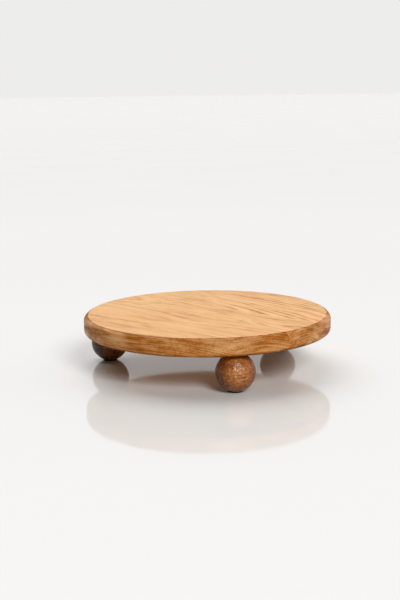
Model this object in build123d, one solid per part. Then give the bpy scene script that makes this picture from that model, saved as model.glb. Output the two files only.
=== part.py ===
from build123d import *
import os
from math import ceil, cos, radians, sin, sqrt, tan

# Round wooden display riser: a solid board, glued up from staves, on three turned ball feet.
# Origin: on the floor, under the middle of the board. +Z is up and -Y is the front.
# All lengths are in millimetres and all angles in degrees.

os.makedirs("parts", exist_ok=True)

# ---- Board ----
board_diameter = 300.0
board_thickness = 22.0
top_edge_radius = 7.0  # round-over between the display face and the rim
bottom_edge_radius = 5.0  # smaller round-over between the rim and the underside
stave_width = 60.0  # the two outermost staves run on to the rim instead
grain_angle = -41.0  # from +X to the length of the staves

# ---- Ball feet ----
ball_diameter = 46.0
ball_seat_flat = 12.0  # diameter of the flat that meets the underside
ball_floor_flat = 18.0  # diameter of the flat that carries the pad
ball_setback = 0.0  # from the plumb line of the rim in to the outside of a ball
front_foot_angle = -75.8  # from +X to the front foot, round the board

# ---- Dowels: 8 x 40 fluted beech, one glued into each foot ----
dowel_diameter = 8.0
dowel_length = 40.0
dowel_in_board = 14.0  # the length that enters the board
dowel_end_chamfer = 1.0
flute_count = 14
flute_radius = 0.5
dowel_side_gap = 0.1  # glue line round a dowel, on the radius
dowel_end_gap = 1.0  # room for glue at each end of a dowel
drill_point_angle = 118.0  # the twist drill that bores the balls

# ---- Rubber pads under the feet ----
pad_thickness = 1.5
pad_margin = 0.5  # how far the ball's floor flat shows beyond the pad

# ---- Worked out from the sizes above ----
board_radius = board_diameter / 2
ball_radius = ball_diameter / 2
seat_above_centre = sqrt(ball_radius**2 - (ball_seat_flat / 2) ** 2)
floor_flat_below_centre = sqrt(ball_radius**2 - (ball_floor_flat / 2) ** 2)
ball_centre_height = pad_thickness + floor_flat_below_centre
underside_height = ball_centre_height + seat_above_centre
foot_circle_radius = board_radius - ball_setback - ball_radius
dowel_hole_radius = dowel_diameter / 2 + dowel_side_gap

foot_angles = {
    "front": front_foot_angle,
    "back_right": front_foot_angle + 120,
    "left": front_foot_angle + 240,
}

# Across the grain, from the front left rim to the back right rim. Each stave lies between
# two limits, given in stave widths from the middle of the board.
rim = ceil(board_radius / stave_width) + 0.5
stave_limits = {
    "stave_front_edge": (-rim, -1.5),
    "stave_front": (-1.5, -0.5),
    "stave_middle": (-0.5, 0.5),
    "stave_back": (0.5, 1.5),
    "stave_back_edge": (1.5, rim),
}

on_base = (Align.CENTER, Align.CENTER, Align.MIN)


def at_foot(shape, angle):
    """Moves a shape made on the Z axis to the foot at this angle round the board."""
    x = foot_circle_radius * cos(radians(angle))
    y = foot_circle_radius * sin(radians(angle))
    return Pos(x, y, 0) * shape


def make_board():
    """The whole disc, with its rim rounded over and a flat-bottomed hole for each dowel."""
    board = Pos(0, 0, underside_height) * Cylinder(board_radius, board_thickness, align=on_base)
    board = fillet(board.edges().group_by(Axis.Z)[-1], top_edge_radius)
    board = fillet(board.edges().group_by(Axis.Z)[0], bottom_edge_radius)
    depth = dowel_in_board + dowel_end_gap
    hole = Pos(0, 0, underside_height) * Cylinder(dowel_hole_radius, depth, align=on_base)
    for angle in foot_angles.values():
        board = board - at_foot(hole, angle)
    return board


def make_stave(board, low, high):
    """The part of the board between two lines that run with the grain."""
    width = (high - low) * stave_width
    middle = (high + low) / 2 * stave_width
    strip = Box(2 * board_diameter, width, 2 * board_thickness)
    strip = Pos(0, middle, underside_height + board_thickness / 2) * strip
    return board & (Rot(0, 0, grain_angle) * strip)


def make_ball():
    """A turned ball, faced flat at its seat and its floor end, and bored for its dowel."""
    blank = Box(ball_diameter, ball_diameter, underside_height - pad_thickness, align=on_base)
    ball = (Pos(0, 0, ball_centre_height) * Sphere(ball_radius)) & (Pos(0, 0, pad_thickness) * blank)
    depth = dowel_length - dowel_in_board + dowel_end_gap
    point = dowel_hole_radius / tan(radians(drill_point_angle / 2))
    bottom = underside_height - depth
    hole = Pos(0, 0, bottom) * Cylinder(dowel_hole_radius, depth, align=on_base)
    drill_point = Pos(0, 0, bottom - point) * Cone(0, dowel_hole_radius, point, align=on_base)
    return ball - hole - drill_point


def make_dowel():
    """A straight fluted dowel with chamfered ends, half in the ball and half in the board."""
    dowel = Cylinder(dowel_diameter / 2, dowel_length, align=on_base)
    ends = dowel.edges().filter_by(GeomType.CIRCLE)
    dowel = chamfer(ends, dowel_end_chamfer)
    flute = Cylinder(flute_radius, dowel_length, align=on_base)
    for place in PolarLocations(dowel_diameter / 2, flute_count):
        dowel = dowel - place * flute
    return Pos(0, 0, underside_height + dowel_in_board - dowel_length) * dowel


def make_pad():
    """A flat rubber disc, stuck to the floor flat of a ball."""
    return Cylinder(ball_floor_flat / 2 - pad_margin, pad_thickness, align=on_base)


def export(shape, node):
    export_step(shape, f"parts/{node}.step")


whole_board = make_board()
for node, (low, high) in stave_limits.items():
    export(make_stave(whole_board, low, high), node)

foot_pieces = {
    "ball_foot": make_ball(),
    "dowel": make_dowel(),
    "rubber_pad": make_pad(),
}
for place, angle in foot_angles.items():
    for piece, shape in foot_pieces.items():
        export(at_foot(shape, angle), f"{piece}_{place}")
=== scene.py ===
import math
from typing import NamedTuple

import bmesh
import bpy
from mathutils import Euler, Matrix, Vector


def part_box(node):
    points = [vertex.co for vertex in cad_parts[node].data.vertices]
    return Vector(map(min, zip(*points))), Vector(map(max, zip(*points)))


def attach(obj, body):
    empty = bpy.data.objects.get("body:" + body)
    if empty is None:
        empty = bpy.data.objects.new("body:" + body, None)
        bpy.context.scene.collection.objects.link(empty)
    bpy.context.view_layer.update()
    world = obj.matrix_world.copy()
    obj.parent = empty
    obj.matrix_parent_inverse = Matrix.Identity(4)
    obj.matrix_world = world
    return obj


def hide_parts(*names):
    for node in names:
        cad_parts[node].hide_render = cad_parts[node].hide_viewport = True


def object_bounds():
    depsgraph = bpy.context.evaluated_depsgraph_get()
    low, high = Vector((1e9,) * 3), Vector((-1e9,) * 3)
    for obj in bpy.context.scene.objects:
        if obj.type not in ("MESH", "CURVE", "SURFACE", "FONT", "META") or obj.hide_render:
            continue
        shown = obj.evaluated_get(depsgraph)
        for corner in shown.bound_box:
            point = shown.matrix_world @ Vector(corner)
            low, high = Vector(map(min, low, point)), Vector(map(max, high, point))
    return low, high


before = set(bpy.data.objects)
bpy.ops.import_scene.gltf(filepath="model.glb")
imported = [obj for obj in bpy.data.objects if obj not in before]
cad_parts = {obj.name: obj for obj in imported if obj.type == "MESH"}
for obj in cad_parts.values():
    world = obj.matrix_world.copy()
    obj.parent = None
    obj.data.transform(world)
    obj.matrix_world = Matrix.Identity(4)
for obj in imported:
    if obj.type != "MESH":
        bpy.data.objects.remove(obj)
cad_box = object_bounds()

bl_info = {
    "name": "Round Display Riser",
    "version": (1, 0, 0),
    "blender": (4, 5, 0),
    "location": "3D View > Sidebar > Riser",
    "description": "Makes an oiled round wooden display riser on ball feet",
    "category": "Object",
}

MM = 0.001
STAVES = ("front_edge", "front", "middle", "back", "back_edge")
FEET = ("front", "left", "back_right")
SHARP_ANGLE = math.radians(12)  # arrises sharper than this stay crisp
HAIR = 0.1 * MM  # less than this between two heights or radii counts as none
WELD = 0.001 * MM  # corners nearer than this become one
ON_CUT = 0.0001 * MM  # corners nearer than this to a saw cut lie on it
DRILL_END_GAP = 1.0 * MM  # a dowel's hole is this much deeper than the dowel at each end
DRILL_POINT = 118  # the angle of the drill's point, in degrees
BOARD_STEPS, BALL_STEPS, PAD_STEPS, HOLE_STEPS = 288, 112, 96, 48  # faces round each piece
TABLETOP_RADIUS = 14.0


# ---- Sizes and colours that a user would change ----


class RiserShape(bpy.types.PropertyGroup):
    """Shape details of the board, the balls and the pads."""

    top_round: bpy.props.FloatProperty(
        name="Top round-over", description="Radius between the display face and the rim",
        default=7.0 * MM, unit="LENGTH",
    )
    bottom_round: bpy.props.FloatProperty(
        name="Bottom round-over", description="Radius between the rim and the underside",
        default=5.0 * MM, unit="LENGTH",
    )
    stave_width: bpy.props.FloatProperty(
        name="Stave width", description="Width of the inner staves across the grain",
        default=60.0 * MM, unit="LENGTH",
    )
    grain_angle: bpy.props.FloatProperty(
        name="Grain angle", description="Direction of the staves, from the X axis",
        default=math.radians(-41), subtype="ANGLE",
    )
    seat_flat: bpy.props.FloatProperty(
        name="Seat flat", description="Diameter of a ball's flat against the board",
        default=12.0 * MM, unit="LENGTH",
    )
    floor_flat: bpy.props.FloatProperty(
        name="Floor flat", description="Diameter of a ball's flat above its pad",
        default=18.0 * MM, unit="LENGTH",
    )
    dowel_hole: bpy.props.FloatProperty(
        name="Dowel hole", description="Diameter of the blind holes for the dowels",
        default=8.2 * MM, unit="LENGTH",
    )
    pad_edge: bpy.props.FloatProperty(
        name="Pad edge", description="Rounding of a pad's edges", default=0.3 * MM, unit="LENGTH",
    )


def colour_property(label, text, code):
    """A text that holds a colour's hex code."""
    return bpy.props.StringProperty(name=label, description=text, default=code)


class RiserFinish(bpy.types.PropertyGroup):
    """Colours, as sRGB hex codes."""

    pale_wood: colour_property("Pale wood", "The palest streaks of the oiled board", "E6AC60")
    early_wood: colour_property("Early wood", "Oiled spring growth, the pale bands", "D69D4C")
    late_wood: colour_property("Late wood", "Oiled summer growth, the dark bands", "A66010")
    pore: colour_property("Pores", "Stain gathered in the open pores", "522708")
    ball_pale: colour_property("Ball pale wood", "The palest streaks of the stained feet", "F2B464")
    ball_early: colour_property("Ball early wood", "Stained spring growth of the feet", "D8924A")
    ball_late: colour_property("Ball late wood", "Stained summer growth of the feet", "985C2C")
    ball_pore: colour_property("Ball pores", "Stain gathered in the pores of the feet", "32160A")
    beech: colour_property("Beech", "Raw wood of the dowels", "D9B68C")
    beech_fleck: colour_property("Beech flecks", "Short dark flecks in the dowels", "B88F63")
    rubber: colour_property("Rubber", "Sheet rubber of the pads", "21150F")
    tabletop: colour_property("Tabletop", "Pale glossy surface", "E1E0DE")


def shape():
    """The sizes in the panel."""
    return bpy.context.scene.riser_shape


def codes():
    """The colours in the panel, as hex codes."""
    return bpy.context.scene.riser_finish


# ---- Node helpers ----


def linear(code):
    """A linear RGBA colour from an sRGB hex code."""
    channels = [int(code[i : i + 2], 16) / 255 for i in (0, 2, 4)]
    return (*[c / 12.92 if c <= 0.04045 else ((c + 0.055) / 1.055) ** 2.4 for c in channels], 1.0)


def add(tree, kind, *values, inputs=None, **settings):
    """Adds a node with its settings, and fills its inputs: values in their order, inputs by name.

    A node or a socket is linked to the input, and anything else is set on it.
    """
    node = tree.nodes.new(kind)
    for key, value in settings.items():
        setattr(node, key, value)
    for key, value in [*enumerate(values), *(inputs or {}).items()]:
        if isinstance(value, bpy.types.Node):
            value = next(socket for socket in value.outputs if socket.enabled)
        if isinstance(value, bpy.types.NodeSocket):
            tree.links.new(value, node.inputs[key])
        else:
            node.inputs[key].default_value = value
    return node


def set_stops(ramp_node, stops):
    """Gives a colour ramp its stops, each a position and a linear colour."""
    elements = ramp_node.color_ramp.elements
    while len(elements) > len(stops):
        elements.remove(elements[-1])
    while len(elements) < len(stops):
        elements.new(1.0)
    for element, (position, colour) in zip(elements, stops):
        element.position = position
        element.color = colour
    return ramp_node


def lumps(tree, place, lengths, seed, detail=3.0, roughness=0.5):
    """A noise whose lumps have about these lengths, in metres, along the three axes of place."""
    scale = tuple(1 / length for length in lengths)
    inputs = {"Vector": place, "Scale": scale, "Location": (seed, seed / 3, 0)}
    stretched = add(tree, "ShaderNodeMapping", inputs=inputs)
    inputs = {"Vector": stretched, "Scale": 1.0, "Detail": detail, "Roughness": roughness}
    return add(tree, "ShaderNodeTexNoise", inputs=inputs)


def pile_up(tree, start, *layers):
    """Adds layers onto a start, each a pattern and its amount."""
    for pattern, amount in layers:
        start = add(tree, "ShaderNodeMath", pattern, amount, start, operation="MULTIPLY_ADD")
    return start


def start_material(name):
    """An empty node material, and its tree."""
    material = bpy.data.materials.new(name)
    material.use_nodes = True
    material.node_tree.nodes.clear()
    return material, material.node_tree


def end_material(tree, inputs):
    """Closes a material with its shader, whose inputs are given by name."""
    shader = add(tree, "ShaderNodeBsdfPrincipled", inputs=inputs)
    add(tree, "ShaderNodeOutputMaterial", inputs={"Surface": shader})


# ---- Wood ----


class Log(NamedTuple):
    """The log that a piece was sawn from."""

    turn: tuple  # the angles that bring its length onto the X axis
    heart: tuple  # the shift that then brings its heart onto the X axis
    length: tuple  # the direction of its length


class Growth(NamedTuple):
    """How the log grew, and how strongly that shows on its planed faces."""

    ring: float  # width of a growth ring
    bow: float  # rise of the log's bow one metre along from its top, in metres
    phase: float  # place of the first ring, from 0 to 1
    figure: float  # contrast of the rings
    grain: float  # contrast of the streaks, fibres and pores


class Treatment(NamedTuple):
    """How far each thing darkens the stained wood where it is cut, and how the surface shines. Not all of
    it
    is stain: the underside's darkening is painted shade, and the flecks are painted glints.
    """

    planed: bool  # whether it has planed faces too, whose contrasts are in the log's growth
    rings: float
    blotches: float
    streaks: float
    fibres: float
    pores: float
    end_grain: float
    # painted shade: how far faces that point down are darkened
    underside: float
    arris: float  # a thin, ragged dark line where a planed face meets a cut edge
    flecks: float  # pale flecks, which lighten the wood as painted glints
    relief: float  # how strongly the grain stands out
    roughness: float  # of the palest wood
    specular: float  # of the palest wood
    film: float  # weight of a film of hardened oil on top


# The board: planed, cut round, oiled. To the eye it is a pale satin face inside a darker, blotchy rim.
# Painted shade: underside darkens the board's faces that point down.
OILED_BOARD = Treatment(
    planed=True, rings=0.12, blotches=1.0, streaks=0.8, fibres=0.42, pores=0.06, end_grain=0.06,
    underside=0.2, arris=2.6, flecks=0.0, relief=0.35, roughness=0.36, specular=0.55, film=0.0,
)
# A foot: turned, stained and oiled till a film hardens. To the eye it is a deep brown, mottled ball with
# a broken glint, partly painted as pale flecks. Painted shade darkens its underside, and its end grain more
# than the board's.
OILED_BALL = Treatment(
    planed=False, rings=0.05, blotches=0.35, streaks=0.12, fibres=0.5, pores=0.12, end_grain=0.22,
    underside=0.14, arris=0.0, flecks=0.17, relief=0.8, roughness=0.3, specular=0.8, film=0.5,
)

CUT_STAIN = 0.2  # how much more stain a cut edge takes than a planed face
PLANED_PORES = 0.12  # how far pores darken a planed face, as a share of the grain's contrast
RAGGED_GAP = 0.3  # what is left of the arris line at its thinnest
DULL_ROUGHNESS, DULL_SPECULAR = 0.5, 0.1  # of the darkest wood
OIL_DEPTHS = (0.15, 0.75)  # depths of stain between which the oil's shine fades
FILM_ROUGHNESS = 0.18
PATCH_TINT = (1.0, 0.91, 0.84, 1.0)  # a gain on the linear colour, for redder heartwood
CUT_TINT_AND_SHEEN = (0.86, 0.88, 1.42, 1.0)  # a gain too: it makes the cut edge cooler, partly the stain's own colour and partly painted sheen
STAIN_STOPS = (0.0, 0.3, 0.65, 1.0)  # depths of stain that have the four colours of a wood

# Lengths of the wood's patterns: along the grain, across it and out from the heart.
WAVES = (200 * MM, 62.5 * MM, 62.5 * MM)
WAVE_REACH = (0.0, 14 * MM, 14 * MM)
GOOD_YEARS = 50 / 3 * MM  # how far out it takes for wide rings to turn into narrow ones
FADES = (120 * MM, 30 * MM, 30 * MM)
STREAKS = (120 * MM, 30 * MM, 5 * MM)
PATCHES = (80 * MM, 40 * MM, 40 * MM)
# Painted glints: the size of the pale flecks on the balls
PAINTED_GLINT_FLECKS = (3 * MM, 2.8 * MM, 2.8 * MM)
RIPPLES = (4.5 * MM, 4.5 * MM, 4.5 * MM)
# Fibres are drawn in bundles and pores in clusters, over 1 mm wide, so that they show at arm's length.
FIBRES = (30 * MM, 1.8 * MM, 1.8 * MM)
PORE_CLUSTERS = (10 * MM, 1.2 * MM, 1.2 * MM)
# Blotches run on from stave to stave, so they lie along the board's own axes and share one seed.
BLOTCHES = (35 * MM, 35 * MM, 12 * MM)
BLOTCH_SEED = 10.6
ROLL_RADIUS = 100 * MM  # the radius at which streaks rolled round the heart have their true width
GRAIN_RELIEF = 0.35 * MM
RIPPLE_RELIEF = 2.4 * MM  # far more than real, so that ripples this small still break up a glint


def log_place(tree, log, bow):
    """The place in the log as if it were straight, and as it bows, with X along the grain."""
    place = add(tree, "ShaderNodeTexCoord").outputs["Object"]
    inputs = {"Vector": place, "Rotation": log.turn, "Location": log.heart}
    straight = add(tree, "ShaderNodeMapping", inputs=inputs)
    along, across, up = add(tree, "ShaderNodeSeparateXYZ", straight).outputs
    squared = add(tree, "ShaderNodeMath", along, along, operation="MULTIPLY")
    lifted = pile_up(tree, up, (squared, bow))
    return straight, add(tree, "ShaderNodeCombineXYZ", along, across, lifted)


def cut_faces(tree, length):
    """How far a face is a cut edge, end grain and an underside, each from 0 to 1."""
    normal = add(tree, "ShaderNodeTexCoord").outputs["Normal"]
    upright = add(tree, "ShaderNodeSeparateXYZ", normal).outputs["Z"]
    facing = add(tree, "ShaderNodeVectorMath", normal, length, operation="DOT_PRODUCT")
    level = add(tree, "ShaderNodeMath", upright, operation="ABSOLUTE")
    endways = add(tree, "ShaderNodeMath", facing, operation="ABSOLUTE")
    return [
        add(tree, "ShaderNodeMapRange", lean, none, full, interpolation_type="SMOOTHSTEP")
        for lean, none, full in ((level, 0.998, 0.86), (endways, 0.3, 0.95), (upright, -0.2, -0.9))
    ]


def wavy_place(tree, bowed, seed):
    """The place in a trunk that is never quite straight: slow waves, long along the grain."""
    scale = tuple(1 / length for length in WAVES)
    inputs = {"Vector": bowed, "Scale": scale, "Location": (seed, 0, 0)}
    stretched = add(tree, "ShaderNodeMapping", inputs=inputs)
    inputs = {"Vector": stretched, "Scale": 1.0, "Detail": 1.5, "Roughness": 0.4}
    waves = add(tree, "ShaderNodeTexNoise", inputs=inputs).outputs["Color"]
    push = add(tree, "ShaderNodeVectorMath", waves, (0.5, 0.5, 0.5), operation="SUBTRACT")
    return add(tree, "ShaderNodeVectorMath", push, WAVE_REACH, bowed, operation="MULTIPLY_ADD")


def growth_rings(tree, bowed, radius, growth, seed):
    """The swing from the pale early wood of each ring, below 0, to its dark late wood, above 0."""
    # Good and bad years: the spacing of the rings varies with the radius.
    inputs = {"W": radius, "Scale": 1 / GOOD_YEARS, "Detail": 1.0}
    years = add(tree, "ShaderNodeTexNoise", inputs=inputs, noise_dimensions="1D")
    age = pile_up(tree, growth.phase, (years, 2.0), (radius, 1 / growth.ring))
    season = add(tree, "ShaderNodeMath", age, operation="FRACT")
    # The early wood darkens slowly to the late wood, and stops short at the next spring.
    stops = [(0.0, 0.6), (0.12, 0.0), (0.5, 0.1), (0.8, 1.0), (0.94, 1.0)]
    late_share = set_stops(
        add(tree, "ShaderNodeValToRGB", season), [(place, (dark, dark, dark, 1.0)) for place, dark in stops]
    )
    swing = add(tree, "ShaderNodeMath", late_share, 0.4, operation="SUBTRACT")
    # The figure fades in places, most of all near the top of the log's bow.
    fade = lumps(tree, bowed, FADES, seed)
    fade = add(tree, "ShaderNodeMapRange", fade, 0.35, 0.55, 0.3, 1.0, interpolation_type="SMOOTHSTEP")
    swing = add(tree, "ShaderNodeMath", swing, fade, operation="MULTIPLY")
    if growth.bow:
        along = add(tree, "ShaderNodeSeparateXYZ", bowed).outputs["X"]
        from_top = add(tree, "ShaderNodeMath", along, operation="ABSOLUTE")
        lively = add(
            tree, "ShaderNodeMapRange", from_top, 50 * MM, 110 * MM, 0.15, 1.0,
            interpolation_type="SMOOTHSTEP",
        )
        swing = add(tree, "ShaderNodeMath", swing, lively, operation="MULTIPLY")
    return swing


def grain_patterns(tree, bent, radius, seed):
    """Streaks that follow the rings, fibres, and clusters of open pores, from 0 to 1."""
    along, across, up = add(tree, "ShaderNodeSeparateXYZ", bent).outputs
    round_heart = add(tree, "ShaderNodeMath", across, up, operation="ARCTAN2")
    rolled = add(tree, "ShaderNodeMath", round_heart, ROLL_RADIUS, operation="MULTIPLY")
    on_ring = add(tree, "ShaderNodeCombineXYZ", along, rolled, radius)
    streaks = lumps(tree, on_ring, STREAKS, seed + 2, 4.0, 0.62)
    fibres = lumps(tree, bent, FIBRES, seed + 3, 2.0, 0.6)
    clusters = lumps(tree, bent, PORE_CLUSTERS, seed + 4, 1.0, 0.6)
    pores = add(tree, "ShaderNodeMapRange", clusters, 0.46, 0.3, interpolation_type="SMOOTHSTEP")
    return streaks, fibres, pores


def stain_colour(tree, depth, colours, tints):
    """The colour of stain of this depth, tinted where the wood or the cut differs."""
    stops = list(zip(STAIN_STOPS, [linear(code) for code in colours]))
    colour = set_stops(add(tree, "ShaderNodeValToRGB", depth), stops)
    for share, tint in tints:
        inputs = {0: share, 6: colour, 7: tint}  # the mix node's factor and its two colours
        colour = add(tree, "ShaderNodeMix", inputs=inputs, data_type="RGBA", blend_type="MULTIPLY")
    return colour


def stained_wood(name, log, growth, treatment, colours, seed, stain):
    """Stained wood, grown as a solid round the log's heart, so that faces, rim and end grain agree.

    colours run from the palest wood to a pore full of stain, and stain is the depth of stain before
    anything lightens or darkens it, from 0 in the palest wood to 1 in a full pore. For the left and back
    right feet it also holds painted shade.
    """
    material, tree = start_material(name)
    straight, bowed = log_place(tree, log, growth.bow)
    bent = wavy_place(tree, bowed, seed)
    around = add(tree, "ShaderNodeVectorMath", bent, (0.0, 1.0, 1.0), operation="MULTIPLY")
    radius = add(tree, "ShaderNodeVectorMath", around, operation="LENGTH")
    rings = growth_rings(tree, bowed, radius, growth, seed)
    streaks, fibres, pores = grain_patterns(tree, bent, radius, seed)
    blotches = lumps(tree, add(tree, "ShaderNodeTexCoord").outputs["Object"], BLOTCHES, BLOTCH_SEED)

    # Cut edges drink more stain than the planed faces, and end grain drinks the most.
    cut, end_grain, underside = cut_faces(tree, log.length)
    if not treatment.planed:
        cut = 1.0

    def centred(pattern):
        return add(tree, "ShaderNodeMath", pattern, 0.5, operation="SUBTRACT")

    def contrast(planed, edge):
        return add(tree, "ShaderNodeMapRange", cut, 0.0, 1.0, planed, edge, interpolation_type="SMOOTHSTEP")

    depth = pile_up(
        tree, stain,
        (rings, contrast(growth.figure, treatment.rings)),
        (centred(blotches), add(tree, "ShaderNodeMath", cut, treatment.blotches, operation="MULTIPLY")),
        (centred(streaks), contrast(growth.grain, treatment.streaks)),
        (centred(fibres), contrast(growth.grain, treatment.fibres)),
        (pores, contrast(PLANED_PORES * growth.grain, treatment.pores)),
        (cut, CUT_STAIN),
        # On the front and left balls, whose grain runs left to right, this is partly painted shade on their
        # sides.
        (end_grain, treatment.end_grain),
        # Painted shade: faces that point down are darkened.
        (underside, treatment.underside),
    )
    if treatment.flecks:
        # Painted glints: pale flecks lighten the colour where the film's glint would break into specks.
        flecks = lumps(tree, straight, PAINTED_GLINT_FLECKS, seed + 8, 1.5)
        flecks = add(tree, "ShaderNodeMapRange", flecks, 0.5, 0.7, interpolation_type="SMOOTHSTEP")
        depth = pile_up(tree, depth, (flecks, -treatment.flecks))
    if treatment.arris:
        # A thin, ragged dark line runs along the arris, where the planed face meets the cut edge.
        planed = add(tree, "ShaderNodeMath", 1.0, cut, operation="SUBTRACT")
        arris = add(tree, "ShaderNodeMath", cut, planed, operation="MULTIPLY")
        ragged = add(
            tree, "ShaderNodeMapRange", fibres, 0.35, 0.6, treatment.arris, RAGGED_GAP,
            interpolation_type="SMOOTHSTEP",
        )
        depth = pile_up(tree, depth, (arris, ragged))

    patches = lumps(tree, straight, PATCHES, seed + 5)
    patches = add(tree, "ShaderNodeMapRange", patches, 0.4, 0.65, interpolation_type="SMOOTHSTEP")
    # The cut edge's tint is partly painted sheen.
    tints = [(patches, PATCH_TINT), (cut, CUT_TINT_AND_SHEEN)] if treatment.planed else [(patches, PATCH_TINT)]
    height = pile_up(tree, 0.0, (fibres, 1.2), (rings, 0.1), (pores, -0.6))
    raised = {"Strength": treatment.relief, "Distance": GRAIN_RELIEF, "Height": height}
    surface = {
        "Base Color": stain_colour(tree, depth, colours, tints),
        "Normal": add(tree, "ShaderNodeBump", inputs=raised),
    }
    # Oil stands on the dense pale wood and sinks into the dark wood and the pores, which stay matt.
    for key, pale, dark in (
        ("Roughness", treatment.roughness, DULL_ROUGHNESS),
        ("Specular IOR Level", treatment.specular, DULL_SPECULAR),
    ):
        surface[key] = add(
            tree, "ShaderNodeMapRange", depth, *OIL_DEPTHS, pale, dark, interpolation_type="SMOOTHSTEP"
        )
    if treatment.film:
        # The film of oil pulls into the grain as it hardens, so its glints are broken into specks.
        pulled = {"Distance": RIPPLE_RELIEF, "Height": lumps(tree, straight, RIPPLES, seed + 7, 2.0)}
        surface["Coat Weight"] = treatment.film
        surface["Coat Roughness"] = FILM_ROUGHNESS
        surface["Coat Normal"] = add(tree, "ShaderNodeBump", inputs={"Strength": 1.0, **pulled})
    end_material(tree, surface)
    return material


# ---- Other materials ----


def raw_beech():
    """Machined beech dowel: pale, dry and faintly flecked along its length."""
    material, tree = start_material("raw_beech_dowel")
    place = add(tree, "ShaderNodeTexCoord").outputs["Object"]
    flecks = lumps(tree, place, (2 / 3 * MM, 2 / 3 * MM, 25 / 3 * MM), 0)
    stops = [(0.35, linear(codes().beech_fleck)), (0.6, linear(codes().beech))]
    tone = set_stops(add(tree, "ShaderNodeValToRGB", flecks), stops)
    fuzz = {"Strength": 0.2, "Distance": 0.05 * MM, "Height": flecks}
    fuzz = add(tree, "ShaderNodeBump", inputs=fuzz)
    end_material(tree, {"Base Color": tone, "Roughness": 0.65, "Normal": fuzz})
    return material


def sheet_rubber():
    """Die-cut sheet rubber: nearly black brown, matt, with a fine pebbled skin."""
    material, tree = start_material("matt_sheet_rubber")
    place = add(tree, "ShaderNodeTexCoord").outputs["Object"]
    pebbles = lumps(tree, place, (0.4 * MM, 0.4 * MM, 0.4 * MM), 0, 2.0)
    dark = linear(codes().rubber)
    worn = (*[1.5 * channel for channel in dark[:3]], 1.0)
    tone = set_stops(add(tree, "ShaderNodeValToRGB", pebbles), [(0.3, dark), (0.7, worn)])
    skin = {"Strength": 0.4, "Distance": 0.08 * MM, "Height": pebbles}
    skin = add(tree, "ShaderNodeBump", inputs=skin)
    end_material(tree, {"Base Color": tone, "Roughness": 0.75, "Normal": skin})
    return material


def glossy_tabletop():
    """Pale polished acrylic: an even white with a clear, slightly soft mirror image.

    Its IOR is a little above bare acrylic's, for a stronger image.
    """
    material, tree = start_material("glossy_white_acrylic")
    place = add(tree, "ShaderNodeTexCoord").outputs["Object"]
    haze = lumps(tree, place, (1 / 3, 1 / 3, 1 / 3), 0, 1.0)
    gloss = add(tree, "ShaderNodeMapRange", haze, 0.0, 1.0, 0.04, 0.1)
    end_material(tree, {"Base Color": linear(codes().tabletop), "Roughness": gloss, "IOR": 1.6})
    return material


# ---- Mesh helpers ----


def mesh_piece(bm, name, material):
    """Turns a finished bmesh into an object at the origin, smooth between its arrises."""
    bmesh.ops.recalc_face_normals(bm, faces=bm.faces)
    for face in bm.faces:
        face.smooth = True
    mesh = bpy.data.meshes.new(name)
    bm.to_mesh(mesh)
    bm.free()
    mesh.set_sharp_from_angle(angle=SHARP_ANGLE)
    mesh.materials.append(material)
    piece = bpy.data.objects.new(name, mesh)
    bpy.context.scene.collection.objects.link(piece)
    return piece


def arc(centre, radius, start, end, steps):
    """Points on an arc in the half plane of radius and height, angles in degrees from outward."""
    return [
        (
            centre[0] + radius * math.cos(math.radians(start + (end - start) * i / steps)),
            centre[1] + radius * math.sin(math.radians(start + (end - start) * i / steps)),
        )
        for i in range(steps + 1)
    ]


def turned_shell(outline, steps):
    """Spins an outline of (radius, height) points once round the Z axis, closed at the poles."""
    bm = bmesh.new()
    verts = [bm.verts.new((radius, 0, height)) for radius, height in outline]
    edges = [bm.edges.new(pair) for pair in zip(verts, verts[1:])]
    bmesh.ops.spin(
        bm, geom=verts + edges, cent=(0, 0, 0), axis=(0, 0, 1), angle=2 * math.pi, steps=steps,
        use_merge=True,
    )
    bmesh.ops.remove_doubles(bm, verts=bm.verts, dist=WELD)
    return bm


def round_bar(radius, length, middle, steps):
    """An upright round bar, closed at both ends."""
    bm = bmesh.new()
    bmesh.ops.create_cone(
        bm, cap_ends=True, segments=steps, radius1=radius, radius2=radius, depth=length,
        matrix=Matrix.Translation(middle),
    )
    return bm


def round_over(bm, edges, radius, steps):
    """Rounds edges over with a radius, in this many facets."""
    bmesh.ops.bevel(
        bm, geom=edges, offset=radius, segments=steps, profile=0.5, affect="EDGES", material=-1,
        clamp_overlap=False,
    )


def ring_caps(bm, width):
    """A narrow flat ring inside each round face, which keeps the shading of the flat apart."""
    for cap in [face for face in bm.faces if len(face.verts) > 4]:
        bmesh.ops.inset_region(bm, faces=[cap], thickness=width, use_even_offset=True)


def board_levels():
    """The heights of the board's underside and top face."""
    low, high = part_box("stave_middle")
    return low.z, high.z


def board_radius():
    """The board is the widest piece, so its radius comes from the bounds."""
    low, high = cad_box
    return (high.x - low.x + high.y - low.y) / 4


# ---- Pieces ----


def board_disc():
    """The whole board: a disc with its rim rounded over, and a narrow flat ring inside each face."""
    low, high = board_levels()
    middle = (low + high) / 2
    radius = board_radius()
    bm = round_bar(radius, high - low, (0, 0, middle), BOARD_STEPS)
    for size, above in ((shape().top_round, True), (shape().bottom_round, False)):
        rim = [
            e for e in bm.edges
            if all((v.co.z > middle) == above for v in e.verts)
            and all(v.co.xy.length > radius - HAIR for v in e.verts)
        ]
        round_over(bm, rim, size, steps=12)
    ring_caps(bm, width=0.5 * MM)
    return bm


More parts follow.
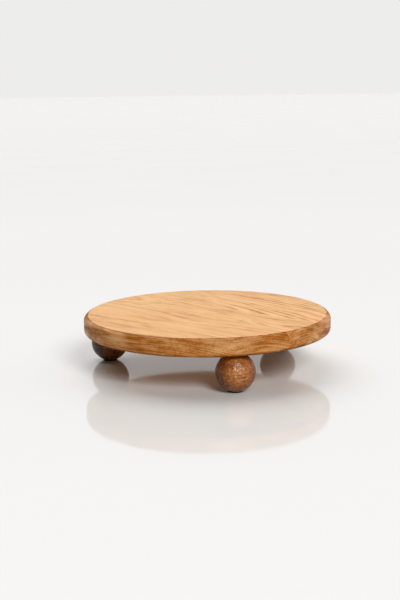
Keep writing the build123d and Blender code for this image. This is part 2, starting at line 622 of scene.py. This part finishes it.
def cut_stave(disc, number):
    """Keeps the stave of this number, from the front left to the back right, and closes its joints."""
    bm = disc.copy()
    across = Vector((-math.sin(shape().grain_angle), math.cos(shape().grain_angle), 0))
    last = len(STAVES) - 1
    low = (number - len(STAVES) / 2) * shape().stave_width
    for place, side in ((low, -1), (low + shape().stave_width, 1)):
        if (side < 0 and number == 0) or (side > 0 and number == last):
            continue
        cut = bmesh.ops.bisect_plane(
            bm, geom=bm.verts[:] + bm.edges[:] + bm.faces[:], dist=ON_CUT,
            plane_co=across * place, plane_no=across * side, clear_outer=True,
        )
        edges = [g for g in cut["geom_cut"] if isinstance(g, bmesh.types.BMEdge)]
        bmesh.ops.holes_fill(bm, edges=edges, sides=0)
    return bm


def bore(piece, cutters):
    """Cuts the dowel holes out of a piece and leaves no modifier behind."""
    for cutter in cutters:
        change = piece.modifiers.new("dowel_hole", "BOOLEAN")
        change.operation = "DIFFERENCE"
        change.solver = "EXACT"
        change.object = cutter
    graph = bpy.context.evaluated_depsgraph_get()
    mesh = bpy.data.meshes.new_from_object(piece.evaluated_get(graph))
    piece.modifiers.clear()
    old = piece.data
    piece.data = mesh
    mesh.name = piece.name
    bpy.data.meshes.remove(old)


def hole_cutter(foot):
    """A drill as wide as the dowel hole, where the foot's dowel enters the board."""
    low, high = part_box("dowel_" + foot)
    centre = (low + high) / 2
    top = high.z + DRILL_END_GAP
    bottom = board_levels()[0] - DRILL_END_GAP
    middle = (centre.x, centre.y, (top + bottom) / 2)
    bm = round_bar(shape().dowel_hole / 2, top - bottom, middle, HOLE_STEPS)
    mesh = bpy.data.meshes.new("drill")
    bm.to_mesh(mesh)
    bm.free()
    drill = bpy.data.objects.new("drill", mesh)
    bpy.context.scene.collection.objects.link(drill)
    return drill


def log_for(length, point):
    """The turn and shift that lay a log's length along X with its heart through a point."""
    length = Vector(length).normalized()
    turn = length.rotation_difference(Vector((1, 0, 0)))
    return Log(tuple(turn.to_euler("XYZ")), tuple(-(turn @ Vector(point))), tuple(length))


def stave_log(lateral, height, shift):
    """The log of a stave: lateral is its heart's place across the grain, height its place above the
    floor, and shift the place along the grain where the log bows most."""
    angle = shape().grain_angle
    along = Vector((math.cos(angle), math.sin(angle), 0))
    across = Vector((-math.sin(angle), math.cos(angle), 0))
    return log_for(along, along * shift + across * lateral + Vector((0, 0, height)))


BOARD_STAIN = 0.3
STAVE_LOGS = {
    # in mm: lateral place and height of the heart, shift along the grain, and the seed
    "front_edge": (-170, -160, 0, 23.5),
    "front": (-70, -130, 0, 32.9),
    "middle": (-4, -5, 5, 23.2),
    "back": (-30, -233, -90, 5.2),
    "back_edge": (10, -233, -75, 57.5),
}
STAVE_GROWTH = {
    "front_edge": Growth(3 * MM, 0.0, 0.4, 0.12, 0.7),
    "front": Growth(3 * MM, 0.0, 0.06, 0.12, 0.6),
    "middle": Growth(3 * MM, -0.3, 0.96, 0.22, 0.85),
    "back": Growth(3 * MM, 0.26, 0.33, 0.4, 0.9),
    "back_edge": Growth(3 * MM, 0.1, 0.15, 0.4, 0.9),
}


def make_staves():
    """The staves, cut from one disc so that they meet face to face, and bored for the dowels."""
    disc = board_disc()
    cutters = [hole_cutter(foot) for foot in FEET]
    colours = (codes().pale_wood, codes().early_wood, codes().late_wood, codes().pore)
    for number, part in enumerate(STAVES):
        lateral, height, shift, seed = STAVE_LOGS[part]
        log = stave_log(lateral * MM, height * MM, shift * MM)
        wood = stained_wood(
            "oiled_ash_stave_" + part, log, STAVE_GROWTH[part], OILED_BOARD, colours, seed, BOARD_STAIN
        )
        piece = mesh_piece(cut_stave(disc, number), "board_stave_" + part, wood)
        bore(piece, cutters)
        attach(piece, "root")
        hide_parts("stave_" + part)
    disc.free()
    for cutter in cutters:
        bpy.data.objects.remove(cutter)


BALL_LOGS = {
    # direction of the ball's grain, how far aside its log's heart lay in mm, the seed and the stain; the
    # deeper stain of the left and back right balls is painted shade, as they stand under the board
    # The front and left balls' grain runs left to right, so their darker end grain is partly painted shade
    # on their sides.
    "front": ((1.0, 0.25, 0.1), 42, 2.2, 0.43),
    "left": ((1.0, 0.3, 0.2), 30, 4.9, 0.55),
    "back_right": ((0.5, 1.0, -0.3), 38, 8.3, 0.6),
}
BALL_GROWTH = Growth(4 * MM, 0.0, 0.0, 0.12, 0.8)
BALL_HEART_RISE = 10 * MM  # how far above a ball's middle its log's heart lay


def make_ball(foot):
    """A turned ball with its flats, bored from its seat for the dowel."""
    low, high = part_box("ball_foot_" + foot)
    middle = (low + high) / 2
    seat, flat = shape().seat_flat / 2, shape().floor_flat / 2
    hole = shape().dowel_hole / 2
    radius = max(high.x - low.x, high.y - low.y) / 2
    centre = low.z + math.sqrt(radius**2 - flat**2)
    start = -math.degrees(math.acos(flat / radius))
    end = math.degrees(math.acos(seat / radius))
    hole_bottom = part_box("dowel_" + foot)[0].z - DRILL_END_GAP
    point = hole / math.tan(math.radians(DRILL_POINT / 2))
    # A narrow ring inside the edge of each flat keeps the flat's shading apart from the ball's.
    outline = [(0, low.z), (flat - 0.4 * MM, low.z)]
    outline += arc((0, centre), radius, start, end, BALL_STEPS // 2)
    outline += [(seat - 0.3 * MM, high.z), (hole, high.z), (hole, hole_bottom), (0, hole_bottom - point)]
    bm = turned_shell(outline, BALL_STEPS)
    bmesh.ops.translate(bm, verts=bm.verts, vec=(middle.x, middle.y, 0))
    length, aside, seed, stain = BALL_LOGS[foot]
    log = log_for(length, (middle.x + aside * MM, middle.y, centre + BALL_HEART_RISE))
    colours = (codes().ball_pale, codes().ball_early, codes().ball_late, codes().ball_pore)
    wood = stained_wood("stained_ball_" + foot, log, BALL_GROWTH, OILED_BALL, colours, seed, stain)
    piece = mesh_piece(bm, "turned_ball_" + foot, wood)
    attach(piece, "root")
    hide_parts("ball_foot_" + foot)


def make_pad(foot, rubber):
    """A rubber disc with softened edges."""
    low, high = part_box("rubber_pad_" + foot)
    bm = round_bar((high.x - low.x) / 2, high.z - low.z, (low + high) / 2, PAD_STEPS)
    edges = [e for e in bm.edges if abs(e.verts[0].co.z - e.verts[1].co.z) < HAIR]
    round_over(bm, edges, shape().pad_edge, steps=6)
    ring_caps(bm, width=0.2 * MM)
    piece = mesh_piece(bm, "pad_" + foot, rubber)
    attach(piece, "root")
    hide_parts("rubber_pad_" + foot)


# ---- Stage ----


CAMERA_PLACE = (0.0, -1.4416, 0.3607)
CAMERA_DOWN, CAMERA_YAW, CAMERA_ROLL = 10.96, 0.339, -0.676  # degrees
CAMERA_LENS = 72.4
SOFTBOXES = (
    # name, strength, width in degrees, and the direction it stands in
    ("overhead_softbox", 1.58, 55, (-0.25, 0.55, 0.95)),
    ("front_softbox", 2.6, 24, (0.32, -0.75, 0.56)),
)
STUDIO_LIGHT = (1.0, 0.995, 0.985, 1.0)
BACKDROP = (0.3, 0.95, 0.0)  # the direction of the studio's bright side
DIM, BRIGHT = 0.08, 0.85  # strength of the studio away from the backdrop and at it
BACKDROP_EDGES = (-0.3, 0.75)  # cosines from the backdrop's direction, where it starts and is full


def make_camera():
    """A long lens on a low tripod in front, looking slightly down."""
    data = bpy.data.cameras.new("camera")
    data.lens = CAMERA_LENS
    camera = bpy.data.objects.new("camera", data)
    camera.location = CAMERA_PLACE
    look = Euler((math.radians(90 - CAMERA_DOWN), 0, math.radians(CAMERA_YAW)), "XYZ").to_matrix()
    roll = Matrix.Rotation(math.radians(CAMERA_ROLL), 3, "Z")
    camera.rotation_euler = (look @ roll).to_euler()
    bpy.context.scene.collection.objects.link(camera)
    bpy.context.scene.camera = camera


def make_sun(name, strength, width, place):
    """A very wide, far lamp, which lights like a big softbox and doesn't fall off over the floor."""
    data = bpy.data.lights.new(name, "SUN")
    data.energy = strength
    data.angle = math.radians(width)
    lamp = bpy.data.objects.new(name, data)
    lamp.rotation_euler = Vector(place).to_track_quat("Z", "Y").to_euler()
    bpy.context.scene.collection.objects.link(lamp)


def make_world():
    """A studio that is bright behind the object and dimmer behind the camera."""
    world = bpy.data.worlds.new("studio")
    world.use_nodes = True
    tree = world.node_tree
    tree.nodes.clear()
    direction = add(tree, "ShaderNodeTexCoord").outputs["Generated"]
    towards = add(tree, "ShaderNodeVectorMath", direction, BACKDROP, operation="DOT_PRODUCT")
    strength = add(
        tree, "ShaderNodeMapRange", towards, *BACKDROP_EDGES, DIM, BRIGHT, interpolation_type="SMOOTHSTEP"
    )
    light = add(tree, "ShaderNodeBackground", STUDIO_LIGHT, strength)
    add(tree, "ShaderNodeOutputWorld", inputs={"Surface": light})
    bpy.context.scene.world = world


def make_floor():
    """The wide tabletop that the riser stands on."""
    bm = bmesh.new()
    bmesh.ops.create_circle(bm, cap_ends=True, segments=96, radius=TABLETOP_RADIUS)
    floor = mesh_piece(bm, "tabletop", glossy_tabletop())


# ---- Operators ----


class RISER_OT_staves(bpy.types.Operator):
    """Make the board's staves, bored for the dowels"""

    bl_idname = "riser.staves"
    bl_label = "Board staves"

    def execute(self, context):
        make_staves()
        return {"FINISHED"}


class RISER_OT_balls(bpy.types.Operator):
    """Make the turned ball feet"""

    bl_idname = "riser.balls"
    bl_label = "Ball feet"

    def execute(self, context):
        for foot in FEET:
            make_ball(foot)
        return {"FINISHED"}


class RISER_OT_pads(bpy.types.Operator):
    """Make the rubber pads under the feet"""

    bl_idname = "riser.pads"
    bl_label = "Rubber pads"

    def execute(self, context):
        rubber = sheet_rubber()
        for foot in FEET:
            make_pad(foot, rubber)
        return {"FINISHED"}


class RISER_OT_dowels(bpy.types.Operator):
    """Give the dowels their raw beech"""

    bl_idname = "riser.dowels"
    bl_label = "Dowels"

    def execute(self, context):
        beech = raw_beech()
        for foot in FEET:
            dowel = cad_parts["dowel_" + foot]
            dowel.data.materials.clear()
            dowel.data.materials.append(beech)
        return {"FINISHED"}


class RISER_OT_stage(bpy.types.Operator):
    """Make the tabletop, the lights and the camera"""

    bl_idname = "riser.stage"
    bl_label = "Stage"

    def execute(self, context):
        make_camera()
        make_world()
        for softbox in SOFTBOXES:
            make_sun(*softbox)
        make_floor()
        context.scene.view_settings.view_transform = "Standard"
        return {"FINISHED"}


class RISER_PT_panel(bpy.types.Panel):
    """The riser's sizes, finishes and making steps"""

    bl_idname = "RISER_PT_panel"
    bl_label = "Display riser"
    bl_space_type = "VIEW_3D"
    bl_region_type = "UI"
    bl_category = "Riser"

    def draw(self, context):
        for group in (context.scene.riser_shape, context.scene.riser_finish):
            box = self.layout.box()
            for name in group.__annotations__:
                box.prop(group, name)
        for operator in STEPS:
            self.layout.operator(operator.bl_idname)


STEPS = (RISER_OT_stage, RISER_OT_staves, RISER_OT_balls, RISER_OT_pads, RISER_OT_dowels)
CLASSES = (RiserShape, RiserFinish, *STEPS, RISER_PT_panel)


def register():
    for cls in CLASSES:
        bpy.utils.register_class(cls)
    bpy.types.Scene.riser_shape = bpy.props.PointerProperty(type=RiserShape)
    bpy.types.Scene.riser_finish = bpy.props.PointerProperty(type=RiserFinish)


def unregister():
    del bpy.types.Scene.riser_finish
    del bpy.types.Scene.riser_shape
    for cls in reversed(CLASSES):
        bpy.utils.unregister_class(cls)


def main():
    register()
    bpy.ops.riser.stage()
    bpy.ops.riser.staves()
    bpy.ops.riser.balls()
    bpy.ops.riser.pads()
    bpy.ops.riser.dowels()


if __name__ == "__main__":
    main()
